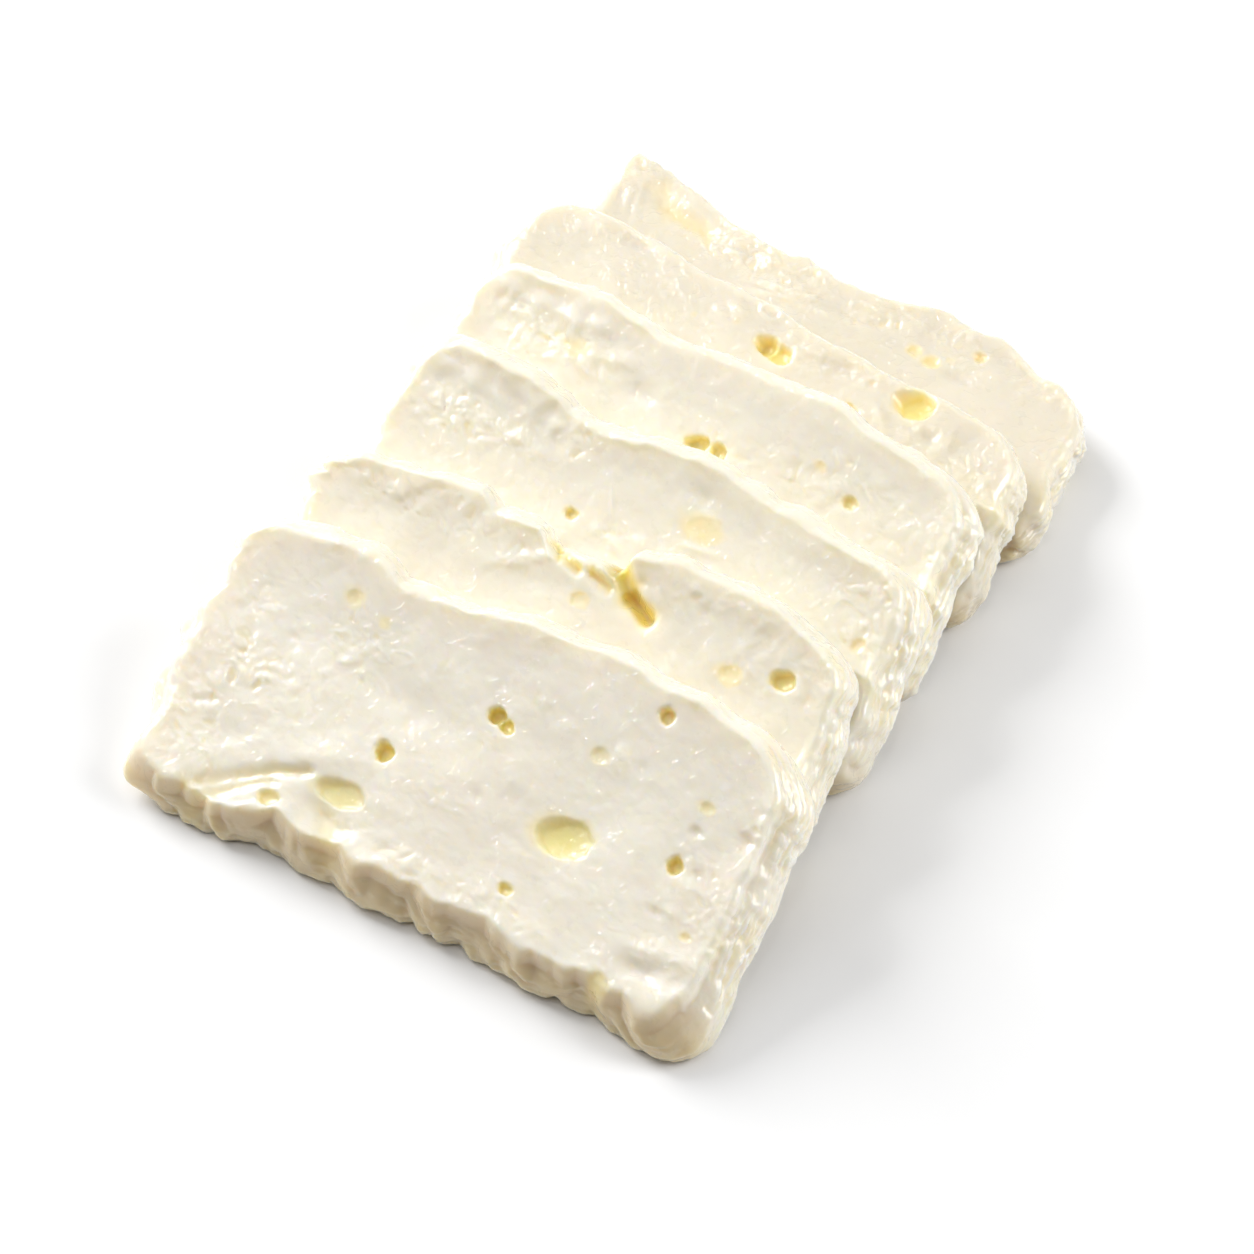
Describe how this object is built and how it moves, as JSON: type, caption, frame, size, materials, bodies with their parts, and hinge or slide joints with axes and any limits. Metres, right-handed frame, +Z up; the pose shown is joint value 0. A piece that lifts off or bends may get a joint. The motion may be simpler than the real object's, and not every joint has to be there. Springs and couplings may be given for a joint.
{
  "type": "sliced soft white cheese",
  "caption": "Fanned slices of creamy white ezine cheese with small eyes, each leaning on the next, with lumpy moulded rims and smooth cut faces.",
  "frame": {"origin": "on the surface that the cheese lies on, under the middle of its box", "axes": "+X along the slices, towards their right ends; +Y back from the front slice to the flat back slice; +Z up"},
  "size_m": [0.1326, 0.1888, 0.0321],
  "materials": {
    "cheese": "moist satin, creamy white, slightly translucent"
  },
  "bodies": {
    "root": {"slice_1": "cheese", "slice_2": "cheese", "slice_3": "cheese", "slice_4": "cheese", "slice_5": "cheese", "slice_6": "cheese"}
  },
  "joints": []
}
